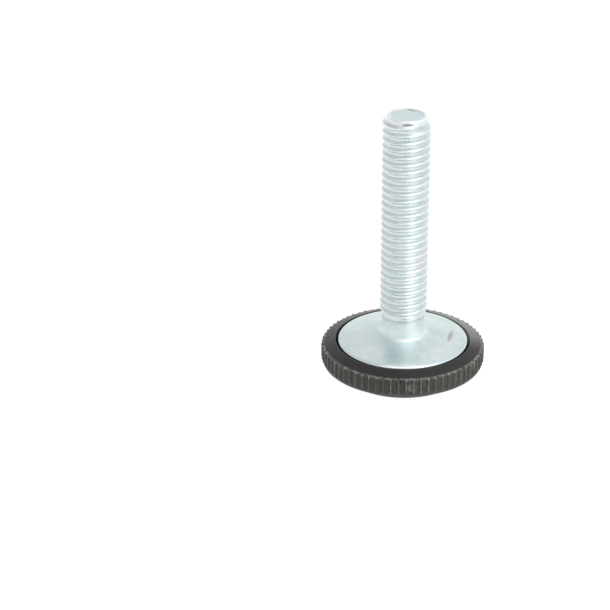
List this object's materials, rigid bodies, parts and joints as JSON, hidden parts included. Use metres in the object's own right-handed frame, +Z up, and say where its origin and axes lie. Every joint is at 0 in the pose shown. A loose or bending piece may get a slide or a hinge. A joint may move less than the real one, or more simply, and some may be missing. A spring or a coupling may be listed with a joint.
{
  "type": "furniture leveling foot",
  "caption": "Screw-in levelling foot: zinc-plated M8 stud with a round flange, snapped into a black knurled plastic base with a ringed sole.",
  "frame": {"origin": "on the floor, at the centre of the ringed sole", "axes": "+Z up along the stud, from the sole to the stud's tip; +X and +Y lie in the floor plane"},
  "size_m": [0.0272, 0.0272, 0.0455],
  "materials": {
    "black_plastic": "moulded, rubbed grey on the sole and rim",
    "zinc_plated_steel": "bright zinc plate, slightly blue"
  },
  "bodies": {
    "base": {"knurled_base": "black_plastic"},
    "stud": {"levelling_stud": "zinc_plated_steel"}
  },
  "joints": [
    {"name": "stud_swivel", "type": "hinge", "parent": "base", "child": "stud", "pos_m": [0, 0, 0.0048], "axis": [0, 0, 1], "continuous": true}
  ]
}
